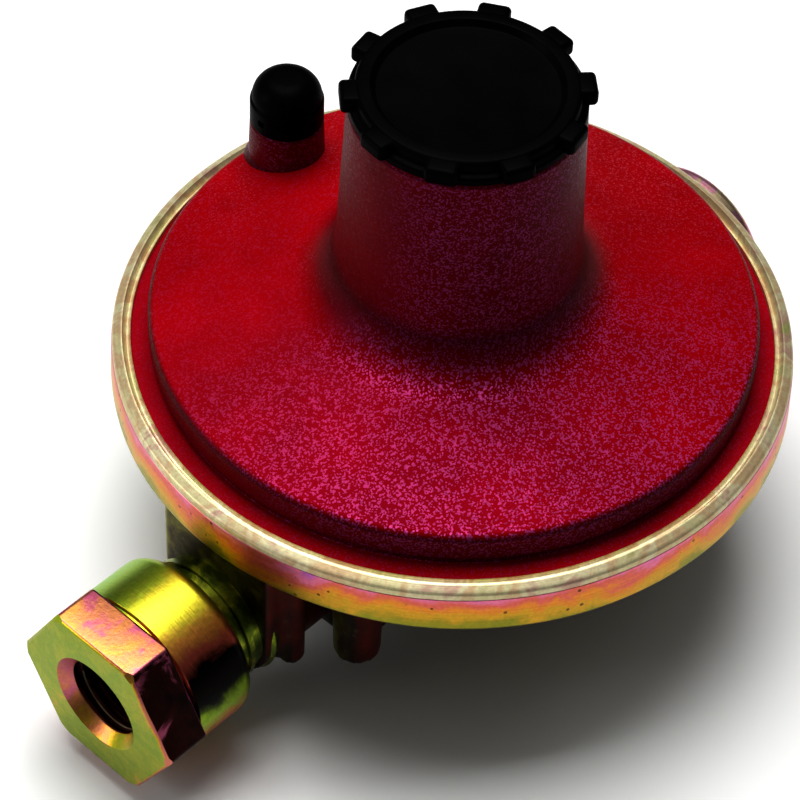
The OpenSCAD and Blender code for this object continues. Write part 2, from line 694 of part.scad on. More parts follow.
module bottom_plug() color("khaki") {
    difference() {
        rotate_extrude($fn = fine) polygon([[0, 0], [plug_r - 0.8, 0], [plug_r, 0.8],
            [plug_r, plug_t], [plug_spigot_r, plug_t], [plug_spigot_r, chamber_z - 0.4],
            [0, chamber_z - 0.4]]);
        for (a = [0, 180]) rotate(a) translate([plug_r - 5, 0, -eps])
            cylinder(r = 1.8, h = 2, $fn = small);
        translate([0, 0, plug_t]) cylinder(r = plug_spigot_r - 2, h = 10, $fn = fine);
    }
}

module plug_washer() color("chocolate")
    ring_z(plug_spigot_r + 0.1, plug_r - 0.6, plug_t, hub_z);

module vent_cap() color("black")
    translate([vent_x, vent_y, vent_z]) {
        top_r = vent_r - 0.6;
        difference() {
            rotate_extrude($fn = mid) polygon(concat([[0, 0], [vent_r, 0], [vent_r, vent_cap_h * 0.56],
                [top_r, vent_cap_h * 0.64]], arc(1.8, 0, 90, 6, top_r - 1.8, vent_cap_h - 1.8),
                [[0, vent_cap_h]]));
            // Breathing slots
            for (a = [0, 90]) rotate(a)
                translate([-vent_r - 1, -0.6, vent_cap_h * 0.2]) cube([2 * vent_r + 2, 1.2, 1]);
        }
        translate([0, 0, -3]) cylinder(r = vent_hole_r - 0.05, h = 3 + eps, $fn = small);
    }

module vent_screen() color("gray")
    translate([vent_x, vent_y, dome_z(vent_dist)])
        cylinder(r = vent_hole_r, h = 0.4, $fn = small);

lower_body();
upper_cover();
adjusting_cap();
cap_seal();
adjusting_screw();
upper_spring_seat();
main_spring();
diaphragm_plate();
diaphragm();
backing_plate();
relief_stem();
relief_nut();
relief_spring();
lever();
lever_pin();
lever_bracket();
bracket_screws();
valve_slide();
seat_disc();
inlet_nozzle();
nozzle_oring();
inlet_filter();
inlet_connector();
swivel_ring();
inlet_oring();
snap_ring();
outlet_connector();
outlet_washer();
bottom_plug();
plug_washer();
vent_cap();
vent_screen();
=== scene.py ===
import json
import math
import bpy
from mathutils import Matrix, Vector


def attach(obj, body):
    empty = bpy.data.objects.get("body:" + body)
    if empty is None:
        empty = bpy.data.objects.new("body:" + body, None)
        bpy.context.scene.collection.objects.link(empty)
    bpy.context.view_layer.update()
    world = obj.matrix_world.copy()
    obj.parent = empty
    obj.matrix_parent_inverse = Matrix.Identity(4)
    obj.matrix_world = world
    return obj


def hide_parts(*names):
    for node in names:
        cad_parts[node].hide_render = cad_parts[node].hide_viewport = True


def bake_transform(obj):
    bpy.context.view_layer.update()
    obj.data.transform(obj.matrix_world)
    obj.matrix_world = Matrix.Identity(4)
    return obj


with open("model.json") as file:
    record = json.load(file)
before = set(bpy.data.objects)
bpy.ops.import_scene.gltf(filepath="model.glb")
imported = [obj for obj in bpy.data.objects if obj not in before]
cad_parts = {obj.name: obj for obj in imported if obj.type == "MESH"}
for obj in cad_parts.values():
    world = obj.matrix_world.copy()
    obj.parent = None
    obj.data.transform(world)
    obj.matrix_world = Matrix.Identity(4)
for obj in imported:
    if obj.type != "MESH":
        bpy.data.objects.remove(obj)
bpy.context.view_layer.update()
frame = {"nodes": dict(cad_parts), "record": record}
nodes = frame["nodes"]
mm = 0.001
weldGap = 0.002 * mm  # points nearer than this become one
sliverGap = 0.001 * mm  # edges shorter than this are taken out


def linear(code, alpha=1.0):
    parts = [int(code[i:i + 2], 16) / 255 for i in (0, 2, 4)]
    return tuple(c / 12.92 if c <= 0.04045 else ((c + 0.055) / 1.055) ** 2.4 for c in parts) + (alpha,)


def addNode(tree, kind, links=None, **settings):
    node = tree.nodes.new(kind)
    for name, value in settings.items():
        setattr(node, name, value)
    for socket, value in (links or {}).items():
        target = node.inputs[socket]
        if isinstance(value, bpy.types.NodeSocket):
            tree.links.new(value, target)
        else:
            target.default_value = value
    return node


def newMaterial(name):
    material = bpy.data.materials.new(name)
    material.use_nodes = True
    tree = material.node_tree
    tree.nodes.clear()
    shader = tree.nodes.new("ShaderNodeBsdfPrincipled")
    output = tree.nodes.new("ShaderNodeOutputMaterial")
    tree.links.new(shader.outputs[0], output.inputs[0])
    coords = tree.nodes.new("ShaderNodeTexCoord")
    return material, tree, shader, coords


def ramp(tree, factor, stops, mode="LINEAR"):
    node = addNode(tree, "ShaderNodeValToRGB", {"Fac": factor})
    band = node.color_ramp
    band.interpolation = mode
    while len(band.elements) < len(stops):
        band.elements.new(0.5)
    for element, (place, colour) in zip(band.elements, stops):
        element.position = place
        element.color = colour
    return node.outputs["Color"]


def grey(value):
    return (value, value, value, 1)


def noise(tree, vector, sizeMm, detail=3.0, rough=0.55, warp=0.0):
    # one noise cell is about sizeMm across
    made = addNode(tree, "ShaderNodeTexNoise", {"Vector": vector, "Scale": 1 / (sizeMm * mm),
                   "Detail": detail, "Roughness": rough, "Distortion": warp})
    return made.outputs["Fac"]


def maths(tree, operation, a, b=0.0, c=0.0):
    return addNode(tree, "ShaderNodeMath", {0: a, 1: b, 2: c}, operation=operation).outputs[0]


def mixed(tree, factor, a, b, blend="MIX"):
    node = addNode(tree, "ShaderNodeMix", data_type="RGBA", blend_type=blend)
    for socket, value in ((node.inputs[0], factor), (node.inputs[6], a), (node.inputs[7], b)):
        if isinstance(value, bpy.types.NodeSocket):
            tree.links.new(value, socket)
        else:
            socket.default_value = value
    return node.outputs[2]


def relief(tree, shader, height, depthMm, strength=1.0):
    bump = addNode(tree, "ShaderNodeBump", {"Height": height, "Strength": strength,
                   "Distance": depthMm * mm})
    tree.links.new(bump.outputs[0], shader.inputs["Normal"])


def facing(tree, coords, direction):
    # how far a face looks towards a fixed direction of the object, from -1 to 1
    unit = Vector(direction).normalized()
    node = addNode(tree, "ShaderNodeVectorMath", {0: coords.outputs["Normal"], 1: unit},
                   operation="DOT_PRODUCT")
    return node.outputs["Value"]


def slotMaterial(piece, material):
    piece.data.materials.clear()
    piece.data.materials.append(material)


def softened(outline, steps=5):
    # outline points are (radius, place) or (radius, place, rounding); a rounding becomes an arc
    points, count = [], len(outline)
    for i, point in enumerate(outline):
        here = Vector(point[:2])
        size = point[2] if len(point) > 2 else 0
        if not size or i in (0, count - 1):
            points.append(here)
            continue
        back = (Vector(outline[i - 1][:2]) - here).normalized()
        ahead = (Vector(outline[i + 1][:2]) - here).normalized()
        angle = back.angle(ahead)
        reach = size / math.tan(angle / 2)
        middle = here + (back + ahead).normalized() * (size / math.sin(angle / 2))
        start = here + back * reach - middle
        turn = math.pi - angle
        if start.x * ahead.y - start.y * ahead.x < 0:
            turn = -turn
        for k in range(steps + 1):
            bit = turn * k / steps
            points.append(middle + Vector((start.x * math.cos(bit) - start.y * math.sin(bit),
                                           start.x * math.sin(bit) + start.y * math.cos(bit))))
    return points


def clearSelection():
    if bpy.context.mode != "OBJECT":
        bpy.ops.object.mode_set(mode="OBJECT")
    bpy.ops.object.select_all(action="DESELECT")


def activate(piece):
    clearSelection()
    piece.select_set(True)
    bpy.context.view_layer.objects.active = piece


def nameLast(name):
    piece = bpy.context.object
    piece.name = piece.data.name = name
    return piece


def settle(piece):
    activate(piece)
    bpy.ops.object.transform_apply(location=True, rotation=True, scale=True)
    return piece


def smooth(piece, angle=32):
    activate(piece)
    bpy.ops.object.shade_smooth_by_angle(angle=math.radians(angle))
    return piece


def duplicate(piece):
    # a copy with its own mesh
    twin = piece.copy()
    twin.data = piece.data.copy()
    bpy.context.collection.objects.link(twin)
    return twin


def onAxis(axis, radius, place, centre):
    # a point of an outline, in metres, for a shape turned about Z or about X
    if axis == "Z":
        return Vector((centre[0] + radius, centre[1], centre[2] + place)) * mm
    return Vector((centre[0] + place, centre[1], centre[2] + radius)) * mm


def drawLine(name, points):
    # one vertex, extruded from point to point and left in edit mode
    clearSelection()
    bpy.ops.mesh.primitive_plane_add(size=mm)
    piece = nameLast(name)
    bpy.ops.object.mode_set(mode="EDIT")
    bpy.ops.mesh.select_all(action="SELECT")
    bpy.ops.mesh.merge(type="CENTER")
    bpy.ops.transform.translate(value=points[0])
    for here, there in zip(points, points[1:]):
        bpy.ops.mesh.extrude_region_move(TRANSFORM_OT_translate={"value": there - here})
    return piece


def turned(name, outline, axis="Z", centre=(0, 0, 0), steps=160):
    # a closed outline, spun about the axis
    points = [onAxis(axis, p[0], p[1], centre) for p in outline]
    piece = drawLine(name, points + points[:1])
    bpy.ops.mesh.select_all(action="SELECT")
    bpy.ops.mesh.spin(steps=steps, angle=math.tau, center=Vector(centre) * mm,
                      axis=(0, 0, 1) if axis == "Z" else (1, 0, 0))
    bpy.ops.mesh.select_all(action="SELECT")
    bpy.ops.mesh.remove_doubles(threshold=weldGap)
    bpy.ops.mesh.dissolve_degenerate(threshold=sliverGap)
    bpy.ops.mesh.select_all(action="SELECT")
    bpy.ops.mesh.normals_make_consistent(inside=False)
    bpy.ops.object.mode_set(mode="OBJECT")
    return piece


def combine(piece, tool, operation):
    # boolean with another piece, which is then thrown away
    activate(piece)
    cut = piece.modifiers.new("cut", "BOOLEAN")
    cut.operation, cut.object, cut.solver = operation, tool, "EXACT"
    bpy.ops.object.modifier_apply(modifier=cut.name)
    bpy.data.objects.remove(tool, do_unlink=True)
    return piece


def softEdges(piece, widthMm, segments=2, angle=40):
    activate(piece)
    bevel = piece.modifiers.new("soft edges", "BEVEL")
    bevel.width, bevel.segments = widthMm * mm, segments
    bevel.limit_method, bevel.angle_limit = "ANGLE", math.radians(angle)
    bevel.use_clamp_overlap = True
    bpy.ops.object.modifier_apply(modifier=bevel.name)
    return piece


def merged(name, pieces):
    clearSelection()
    for piece in pieces:
        piece.select_set(True)
    bpy.context.view_layer.objects.active = pieces[0]
    bpy.ops.object.join()
    return nameLast(name)


def finishPiece(piece, body, material, slot, *replaced):
    slotMaterial(piece, material)
    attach(piece, body)
    if replaced:
        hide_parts(*replaced)
    return piece


# materials
def redLacquer():
    # red polyester lacquer with fine metal flake: deep red, with a painted violet sparkle on faces
    # turned towards the front, and painted shade that darkens its upright walls and fillets
    settings = {"deep": "840002", "body": "960004", "cloudMm": 14, "flake": "DC5CB4", "flakeMm": 0.22,
                "share": 0.7, "tilt": 0.4, "flakeShare": 0.42, "flakeMetal": 0.24, "bareMetal": 0.02,
                "sparkleToward": (-0.45, -0.75, 0.5), "wallShade": 0.4, "filletShade": 0.18, "shoulderShade": 0.36,
                "levelAt": 0.93, "roughness": 0.44, "flakePolish": -0.06, "ior": 1.15, "gloss": "8C40D0",
                "peelMm": 1.1, "peelDepthMm": 0.05, "peelStrength": 0.4}
    material, tree, shader, coords = newMaterial("redLacquer")
    place = coords.outputs["Object"]
    cloud = noise(tree, place, settings["cloudMm"], 3)
    base = ramp(tree, cloud, [(0.35, linear(settings["deep"])), (0.65, linear(settings["body"]))])
    # each cell is one flake, drawn coarser than the real 0.1 mm so that it shows
    cells = addNode(tree, "ShaderNodeTexVoronoi", {"Vector": place, "Scale": 1 / (settings["flakeMm"] * mm)})
    spark = addNode(tree, "ShaderNodeSeparateColor", {"Color": cells.outputs["Color"]})
    chosen = maths(tree, "GREATER_THAN", spark.outputs[0], settings["share"])
    # painted sparkle: the violet flake colour is laid mostly on faces turned towards the front and the
    # inlet's side
    sparkleFacing = facing(tree, coords, settings["sparkleToward"])
    litFlakes = maths(tree, "MULTIPLY", chosen, ramp(tree, sparkleFacing, [(0.5, grey(0.08)), (0.8, grey(1.0))]))
    litFlakeCover = maths(tree, "MULTIPLY", litFlakes, settings["flakeShare"])
    colour = mixed(tree, litFlakeCover, base, linear(settings["flake"]))
    # painted shade: upright walls are darkened, the fillets at the tower's foot most, and level faces keep
    # the full colour
    level = maths(tree, "ABSOLUTE", facing(tree, coords, (0, 0, 1)))
    paintedShade = ramp(tree, level, [(0.08, grey(settings["wallShade"])), (0.3, grey(settings["filletShade"])),
                              (0.62, grey(settings["shoulderShade"])), (settings["levelAt"], grey(1.0))])
    tree.links.new(mixed(tree, 1.0, colour, paintedShade, "MULTIPLY"), shader.inputs["Base Color"])
    metal = maths(tree, "MULTIPLY_ADD", litFlakes, settings["flakeMetal"], settings["bareMetal"])
    tree.links.new(metal, shader.inputs["Metallic"])
    rough = maths(tree, "MULTIPLY_ADD", chosen, settings["flakePolish"], settings["roughness"])
    tree.links.new(rough, shader.inputs["Roughness"])
    shader.inputs["IOR"].default_value = settings["ior"]
    shader.inputs["Specular Tint"].default_value = linear(settings["gloss"])
    # a flake lies a little tilted, so it glints only towards the light
    surface = addNode(tree, "ShaderNodeNewGeometry").outputs["Normal"]
    centred = addNode(tree, "ShaderNodeVectorMath", {0: cells.outputs["Color"], 1: (0.5, 0.5, 0.5)},
                      operation="SUBTRACT").outputs[0]
    amount = maths(tree, "MULTIPLY", chosen, settings["tilt"])
    tilt = addNode(tree, "ShaderNodeVectorMath", {0: centred, "Scale": amount}, operation="SCALE").outputs[0]
    added = addNode(tree, "ShaderNodeVectorMath", {0: surface, 1: tilt}, operation="ADD").outputs[0]
    leaning = addNode(tree, "ShaderNodeVectorMath", {0: added}, operation="NORMALIZE").outputs[0]
    peel = noise(tree, place, settings["peelMm"], 2)
    bump = addNode(tree, "ShaderNodeBump", {"Height": peel, "Strength": settings["peelStrength"],
                   "Distance": settings["peelDepthMm"] * mm, "Normal": leaning})
    tree.links.new(bump.outputs[0], shader.inputs["Normal"])
    return material


def passivated(name, tones, patchMm, roughness, toolMarks=None, pits=0.0, litSide=None, litSideShare=0.5,
               rise=None, metallic=1.0):
    # zinc with a yellow chromate passivate:
    # a bright metal under a film that turns olive, gold, pink and violet
    settings = {"grainMm": 0.5, "grainShare": 0.3, "grainRough": 0.12, "riseShare": 0.45, "pitMm": 1.7,
                "pitPatchMm": 6, "pitPatchShare": 0.52, "pitTone": "3A2A18", "pitDepth": 0.75,
                "markShare": 0.22, "reliefMm": 0.05, "reliefStrength": 0.5}
    material, tree, shader, coords = newMaterial(name)
    place = coords.outputs["Object"]
    wide = noise(tree, place, patchMm, 4, 0.6, 0.6)
    drive = wide
    if litSide:
        # painted light and shade: the tone turns with the way a face looks towards one fixed side, over the
        # film's own hues
        paintedLitSide = maths(tree, "MULTIPLY_ADD", facing(tree, coords, litSide), 0.5, 0.5)
        drive = maths(tree, "ADD", maths(tree, "MULTIPLY", wide, 1 - litSideShare),
                      maths(tree, "MULTIPLY", paintedLitSide, litSideShare))
    if rise:
        # the film changes tone from the foot of the band to its top
        height = addNode(tree, "ShaderNodeSeparateXYZ", {0: place}).outputs[2]
        share = addNode(tree, "ShaderNodeMapRange", {0: height, 1: rise[0] * mm, 2: rise[1] * mm}).outputs[0]
        drive = maths(tree, "ADD", maths(tree, "MULTIPLY", drive, 1 - settings["riseShare"]),
                      maths(tree, "MULTIPLY", share, settings["riseShare"]))
    stops = [(at, linear(code)) for at, code in tones]
    colour = ramp(tree, drive, stops, "EASE")
    fine = noise(tree, place, settings["grainMm"], 3, 0.6)
    grainTone = ramp(tree, fine, [(0.3, grey(0.35)), (0.7, grey(1.0))])
    colour = mixed(tree, settings["grainShare"], colour, grainTone, "MULTIPLY")
    rough = maths(tree, "MULTIPLY_ADD", fine, settings["grainRough"], roughness)
    height = fine
    if pits:
        # small dark pits where the casting shows through the film
        cells = addNode(tree, "ShaderNodeTexVoronoi", {"Vector": place, "Scale": 1 / (settings["pitMm"] * mm),
                        "Randomness": 1.0})
        dots = maths(tree, "LESS_THAN", cells.outputs["Distance"], pits)
        patches = noise(tree, place, settings["pitPatchMm"], 2)
        spots = maths(tree, "MULTIPLY", dots, maths(tree, "GREATER_THAN", patches, settings["pitPatchShare"]))
        darkened = maths(tree, "MULTIPLY", spots, settings["pitDepth"])
        colour = mixed(tree, darkened, colour, linear(settings["pitTone"]))
        height = maths(tree, "SUBTRACT", height, spots)
    if toolMarks:
        axis, pitchMm = toolMarks
        parts = addNode(tree, "ShaderNodeSeparateXYZ", {0: place})
        if axis == "Z":
            flat = addNode(tree, "ShaderNodeCombineXYZ", {0: parts.outputs[0], 1: parts.outputs[1]})
            radius = addNode(tree, "ShaderNodeVectorMath", {0: flat.outputs[0]}, operation="LENGTH")
            lineUp = addNode(tree, "ShaderNodeCombineXYZ", {0: radius.outputs["Value"], 1: parts.outputs[2]})
        else:
            lineUp = addNode(tree, "ShaderNodeCombineXYZ", {0: parts.outputs[0]})
        marks = noise(tree, lineUp.outputs[0], pitchMm, 2, 0.7)
        height = maths(tree, "ADD", maths(tree, "MULTIPLY", height, 0.5), marks)
        markTone = ramp(tree, marks, [(0.35, grey(0.45)), (0.6, grey(1.0))])
        colour = mixed(tree, settings["markShare"], colour, markTone, "MULTIPLY")
    tree.links.new(colour, shader.inputs["Base Color"])
    tree.links.new(rough, shader.inputs["Roughness"])
    shader.inputs["Metallic"].default_value = metallic
    relief(tree, shader, height, settings["reliefMm"], settings["reliefStrength"])
    return material


def mouldedPlastic():
    # black polypropylene from a fine-spark mould: nearly black, with a faint satin on edges
    settings = {"deep": "010101", "body": "040405", "cloudMm": 7, "grainMm": 0.3, "grainRough": 0.2,
                "roughness": 0.3, "ior": 1.49, "gloss": 0.01, "reliefMm": 0.04, "reliefStrength": 0.5}
    material, tree, shader, coords = newMaterial("blackPolypropylene")
    place = coords.outputs["Object"]
    grain = noise(tree, place, settings["grainMm"], 2)
    cloud = noise(tree, place, settings["cloudMm"], 3)
    colour = ramp(tree, cloud, [(0.3, linear(settings["deep"])), (0.7, linear(settings["body"]))])
    tree.links.new(colour, shader.inputs["Base Color"])
    rough = maths(tree, "MULTIPLY_ADD", grain, settings["grainRough"], settings["roughness"])
    tree.links.new(rough, shader.inputs["Roughness"])
    shader.inputs["IOR"].default_value = settings["ior"]
    shader.inputs["Specular IOR Level"].default_value = settings["gloss"]
    relief(tree, shader, grain, settings["reliefMm"], settings["reliefStrength"])
    return material


def patched(name, dark, light, patchMm, grainMm, roughness, metallic, depthMm=0.03, ior=None, stretch=None):
    # one body colour with slow patches and a fine grain
    material, tree, shader, coords = newMaterial(name)
    place = coords.outputs["Object"]
    if stretch:
        place = addNode(tree, "ShaderNodeMapping", {"Vector": place, "Scale": stretch}).outputs[0]
    patches, grain = noise(tree, place, patchMm, 3), noise(tree, place, grainMm, 3)
    colour = ramp(tree, patches, [(0.3, linear(dark)), (0.7, linear(light))])
    grainTone = ramp(tree, grain, [(0.3, grey(0.5)), (0.7, grey(1.0))])
    tree.links.new(mixed(tree, 0.35, colour, grainTone, "MULTIPLY"), shader.inputs["Base Color"])
    tree.links.new(maths(tree, "MULTIPLY_ADD", grain, 0.2, roughness), shader.inputs["Roughness"])
    shader.inputs["Metallic"].default_value = metallic
    if ior:
        shader.inputs["IOR"].default_value = ior
    relief(tree, shader, grain, depthMm, 0.6)
    return material


lipTones = [(0.3, "B4AE74"), (0.42, "DCD2A2"), (0.5, "D4B88E"), (0.58, "E2D8AE"), (0.66, "CCA892"),
            (0.76, "B4B870")]
bandTones = [(0.2, "5E7A1C"), (0.32, "98902A"), (0.42, "D0A030"), (0.5, "DC8C38"), (0.57, "D86C5C"),
             (0.65, "E07C9C"), (0.75, "B868B8")]
# collar tones: the film's hues, and near-black stops that paint a dark reflection band
collarFilmAndReflectionTones = [(0.02, "6C9A20"), (0.07, "D8487C"), (0.12, "D09020"), (0.18, "98B820"), (0.26, "060403"),
               (0.4, "0A0504"), (0.46, "D86450"), (0.54, "E89C48"), (0.63, "C4B834"), (0.77, "BCB034"),
               (0.85, "A4C034"), (0.96, "90C82C")]
# hexagon tones: the film's hues, and dark stops that paint shade on the lower flats
hexFilmAndShadeTones = [(0.2, "C04880"), (0.3, "100504"), (0.39, "2A0C08"), (0.43, "BC5C7C"), (0.48, "C88058"),
            (0.53, "CC8C48"), (0.58, "C46C7C"), (0.64, "C88050"), (0.7, "C89C30"), (0.76, "98A020"),
            (0.82, "84981C"), (0.9, "A8AC28"), (0.96, "B89838")]
outletTones = [(0.3, "8C9C28"), (0.42, "D8A088"), (0.52, "E8A0BC"), (0.62, "E0CCA0"), (0.72, "C87CA0"),
               (0.82, "A8A838")]
# neck tones: dark, as painted shade behind the collar
neckShadeTones = [(0.3, "18220A"), (0.45, "54641C"), (0.6, "A4AC34"), (0.75, "343A10")]
# bore tones: dark, as painted shade inside the threads
boreShadeTones = [(0.3, "1C120A"), (0.5, "4A2C14"), (0.62, "5A2230"), (0.75, "2A2A10")]
# casting tones: dark red-brown painted shade, up to a lighter olive on the lit side
castShadeTones = [(0.2, "5A1C14"), (0.34, "3A120C"), (0.46, "160E08"), (0.58, "2C220C"), (0.7, "74702A"),
             (0.8, "9C983C")]

lacquer = redLacquer()
# bright rolled lip with the lines of the crimping tool
lipFilm = passivated("passivatedRolledLip", lipTones, 9, 0.38, ("Z", 0.35), metallic=0.6)
# outer band: pink and gold bloom with small pits of the casting
bandFilm = passivated("passivatedBand", bandTones, 10, 0.3, ("Z", 0.5), 0.16, rise=(28.5, 37))
# turned steel of the collars: green at the back, then yellow and peach, and a painted dark reflection band on
# faces turned down towards the front
turnedFilmAndReflection = passivated("passivatedTurnedSteelPaintedReflection", collarFilmAndReflectionTones, 6, 0.29, ("X", 0.4), 0.0,
                        (0, 0.766, 0.643), 0.82)
# outlet collar: pink and cream, with little of the green
outletFilm = passivated("passivatedOutletSteel", outletTones, 5, 0.3, ("X", 0.4))
# milled hexagon: green end face, peach and pink flats, and painted shade in dark brown on the flats turned
# down and to the front
hexFilmAndShade = passivated("passivatedMilledHexagonPaintedShade", hexFilmAndShadeTones, 6, 0.32, None, 0.0, (-1, 0.45, 0), 0.62)
# neck of the casting, turned: dark green to yellow, kept dark as painted shade behind the collar
neckShadeFilm = passivated("passivatedTurnedNeckPaintedShade", neckShadeTones, 5, 0.25, ("X", 0.4))
# inside of the threads: a thin, dull film, painted dark brown as the shade inside the bore
boreShadeFilm = passivated("passivatedThreadPaintedShade", boreShadeTones, 4, 0.35)
# rough zinc casting under the rim, duller: painted shade in dark red-brown on faces turned to the front,
# lighter olive on faces turned to the lit side
castFilmAndShade = passivated("passivatedCastingPaintedShade", castShadeTones, 6, 0.42, None, 0.2, (-0.35, 0.9, -0.1), 0.6)
blackPlastic = mouldedPlastic()
# nitrile rubber, moulded: matt, slightly dusty black
rubber = patched("nitrileRubber", "141415", "232325", 6, 0.25, 0.72, 0, 0.03, 1.52)
# patented spring wire, drawn: grey steel with a fine grain
springWire = patched("drawnSpringWire", "6C6F74", "9DA0A6", 4, 0.2, 0.3, 1, 0.01)
# sheet steel with bright zinc, pressed: pale bluish grey
zincPlate = patched("brightZincSheet", "8F949A", "B9BEC4", 5, 0.4, 0.32, 1, 0.01)
# free-cutting brass, turned: warm yellow with fine streaks across it
brass = patched("turnedBrass", "A8843A", "D2AE5C", 5, 0.3, 0.25, 1, 0.015, None, (3, 1, 1))
# vulcanised fibre washer: dull red-brown sheet
fibre = patched("vulcanisedFibre", "5A2C1E", "7A4030", 3, 0.2, 0.7, 0, 0.02, 1.5)
# stainless wire cloth: its weave is too fine to show, so it is a grey grain of 0.4 mm
wireCloth = patched("stainlessWireCloth", "55585C", "A3A6AA", 0.8, 0.4, 0.35, 1, 0.08)
print("materials made")

slotLooks = {"passivated_casting": castFilmAndShade, "passivated_steel": turnedFilmAndReflection, "red_paint": lacquer,
             "black_plastic": blackPlastic, "rubber": rubber, "spring_steel": springWire,
             "plated_steel": zincPlate, "brass": brass, "fibre": fibre, "steel_mesh": wireCloth}
for entry in frame["record"]["subparts"]:
    slotMaterial(nodes[entry["node"]], slotLooks[entry["material_slot"]])
# the snap ring takes the same painted shade behind the collar
slotMaterial(nodes["snap_ring"], neckShadeFilm)

# cover
cover = {"flangeRadius": 43.95, "flangeFoot": 33.6, "flangeTop": 35.6, "grooveRadius": 40.1,
         "wallRadius": 40.9, "wallFoot": 37.3, "domeEdge": 41.12, "domeRound": 1.3,
         "towerFoot": (16.46, 46.77), "fillet": 9, "towerRadius": 15.2, "towerTop": 77.5, "boreRadius": 12.8,
         "boreFoot": 45.4, "cavityRadius": 38.7, "roof": 2.3}
outline = softened([
    (cover["boreRadius"], cover["boreFoot"]), (cover["boreRadius"], cover["towerTop"], 0.35),
    (cover["towerRadius"], cover["towerTop"], 0.6), (*cover["towerFoot"], cover["fillet"]),
    (cover["wallRadius"], cover["domeEdge"], cover["domeRound"]),
    (cover["wallRadius"], cover["wallFoot"], 0.25), (cover["grooveRadius"], cover["flangeTop"] + 1, 0.3),
    (cover["grooveRadius"], cover["flangeTop"], 0.2), (cover["flangeRadius"], cover["flangeTop"], 0.2),
    (cover["flangeRadius"], cover["flangeFoot"], 0.2), (cover["cavityRadius"], cover["flangeFoot"], 0.3),
    (cover["cavityRadius"], cover["domeEdge"] - cover["roof"], 1)], 8)
coverShell = turned("coverShell", outline, steps=192)

vent = {"centre": (3.99, 35.58, 0), "foot": 39.2, "skirt": 41.3, "radius": 5.1, "top": 48.6, "hole": 2.9,
        "flare": 0.9}
ventBoss = turned("ventBoss", softened([
    (vent["hole"], vent["foot"]), (vent["hole"], vent["top"], 0.2), (vent["radius"], vent["top"], 0.35),
    (vent["radius"] + 0.2, vent["skirt"] + 1.6, 1.5),
    (vent["radius"] + vent["flare"], vent["skirt"], 0.2),
    (vent["radius"] + vent["flare"], vent["foot"])], 6), centre=vent["centre"], steps=72)
coverShell = merged("coverShell", [coverShell, ventBoss])
finishPiece(smooth(coverShell, 38), "housing", lacquer, "red_paint", "upper_cover")
print("cover made")

# rim
rim = {"radius": 46, "flare": 0.25, "lipInner": 43.4, "lipTop": 36.8, "lipEdge": 36.05, "bandFoot": 29.2,
       "inner": 41.6, "shrink": 0.0008, "waves": ((3, 0.7, 1), (7, 2.1, 0.6), (13, 0, 0.4))}
lipOutline = softened([
    (rim["lipInner"], rim["lipEdge"] - 1.2), (rim["lipInner"], rim["lipTop"], 0.5),
    (rim["lipInner"] + 1.3, rim["lipTop"] - 0.12, 0.8), (rim["radius"] - 0.1, rim["lipEdge"], 0.75),
    (rim["radius"] - 0.05, rim["lipEdge"] - 1.2)], 6)
bandOutline = softened([
    (rim["inner"] + 2.2, rim["lipEdge"] - 0.9), (rim["radius"], rim["lipEdge"] - 0.9, 0.2),
    (rim["radius"] + rim["flare"], rim["bandFoot"] + 0.2, 0.7),
    (rim["radius"] - 1.8, rim["bandFoot"] - 0.4, 1),
    (rim["inner"], rim["bandFoot"] - 0.9)], 6)
rolledLip = turned("rolledLip", lipOutline, steps=192)
rimBand = turned("rimBand", bandOutline, steps=192)
for piece in (rolledLip, rimBand):
    # the lip and band are folded by a tool, so they wander by a tenth of a millimetre
    for vertex in piece.data.vertices:
        around = math.atan2(vertex.co.y, vertex.co.x)
        wander = sum(height * math.sin(count * around + phase) for count, phase, height in rim["waves"])
        shrink = 1 - rim["shrink"] * (1.2 + wander)
        vertex.co.x, vertex.co.y = vertex.co.x * shrink, vertex.co.y * shrink
finishPiece(smooth(rolledLip), "housing", lipFilm, "passivated_casting", "lower_body")
finishPiece(smooth(rimBand), "housing", bandFilm, "passivated_casting", "lower_body")
print("rim made")

# casting under the rim
flow = (0, 0, 15.3)  # a point on the axis of the inlet and the outlet
casting = {"bossRadius": 9.6, "bossStart": 20.0, "faceX": 44.987, "seatZ": 31, "blockX": (-31.02, 30),
           "blockHalf": 13.1, "blockZ": (5, 26), "hubRadius": 14, "hubZ": 3.8, "postX": 33.2, "postY": 14.8,
           "postZ": 10, "postTop": 28.5, "postRadius": 3.2, "hole": 1.65, "holeDepth": 8, "ribX": -40,
           "ribY": 9.4, "ribZ": (9.5, 30), "ribRadius": 1.7, "gussetX": (-8, 10), "gussetWall": 2,
           "gusset": ((12, 9), (13.1, 9), (36.5, 27.7), (36.5, 29.5), (12, 24)), "voxelMm": 0.66,
           "bowl": ((0.0, 22), (32.7, 22), (39.4, 28), (42.8, 28.6), (43.8, 30.5), (43.8, 35), (41.8, 35),
                    (41.8, 32.6), (37.5, 32.6), (37.5, 28.8), (33.7, 25), (0.0, 25))}


def box(name, low, high, rounding=0):
    clearSelection()
    size = Vector(high) - Vector(low)
    bpy.ops.mesh.primitive_cube_add(size=1, location=(Vector(low) + Vector(high)) / 2 * mm, scale=size * mm)
    piece = settle(nameLast(name))
    if rounding:
        softEdges(piece, rounding, 4, 60)
    return piece


def rodAlongX(name, radius, start, end, z, steps=64):
    clearSelection()
    bpy.ops.mesh.primitive_cylinder_add(vertices=steps, radius=radius * mm, depth=(end - start) * mm,
                                        location=((start + end) / 2 * mm, 0, z * mm),
                                        rotation=(0, math.pi / 2, 0))
    return settle(nameLast(name))


